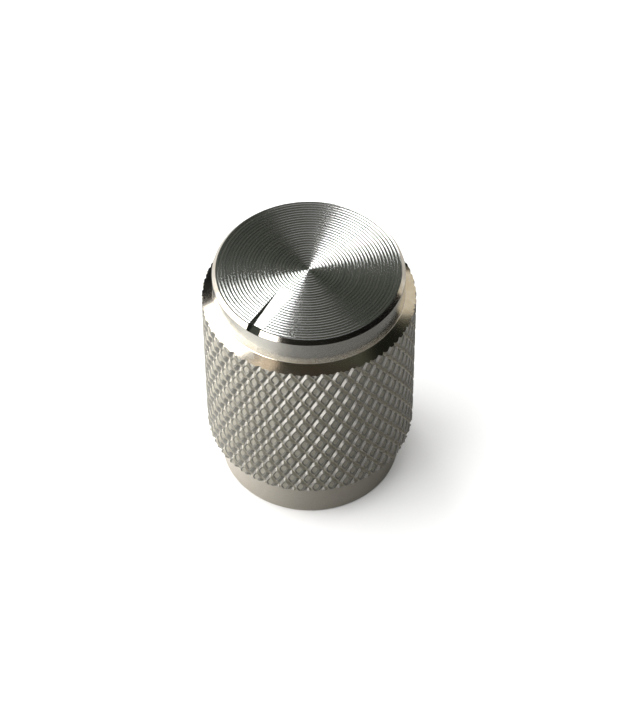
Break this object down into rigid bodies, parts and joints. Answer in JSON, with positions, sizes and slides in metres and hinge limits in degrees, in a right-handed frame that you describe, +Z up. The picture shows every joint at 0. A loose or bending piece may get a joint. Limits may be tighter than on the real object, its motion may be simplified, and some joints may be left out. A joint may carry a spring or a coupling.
{
  "type": "knurled control knob",
  "caption": "Round turned aluminium control knob with a diamond-knurled grip, spun top, pointer slot and a blind shaft bore clamped by a grub screw.",
  "frame": {"origin": "on the shaft axis, in the plane of the knob's underside", "axes": "+Z up along the shaft axis towards the top face; the pointer slot runs towards -Y and the grub screw comes in from +Y"},
  "size_m": [0.015, 0.015, 0.019],
  "materials": {
    "aluminium": "bare turned aluminium: spun top, polished chamfer and shoulder, satin rim and band, rolled knurl",
    "black_steel": "black oxide on hardened steel, lightly oiled"
  },
  "bodies": {
    "root": {"knob_body": "aluminium", "grub_screw": "black_steel"}
  },
  "joints": []
}
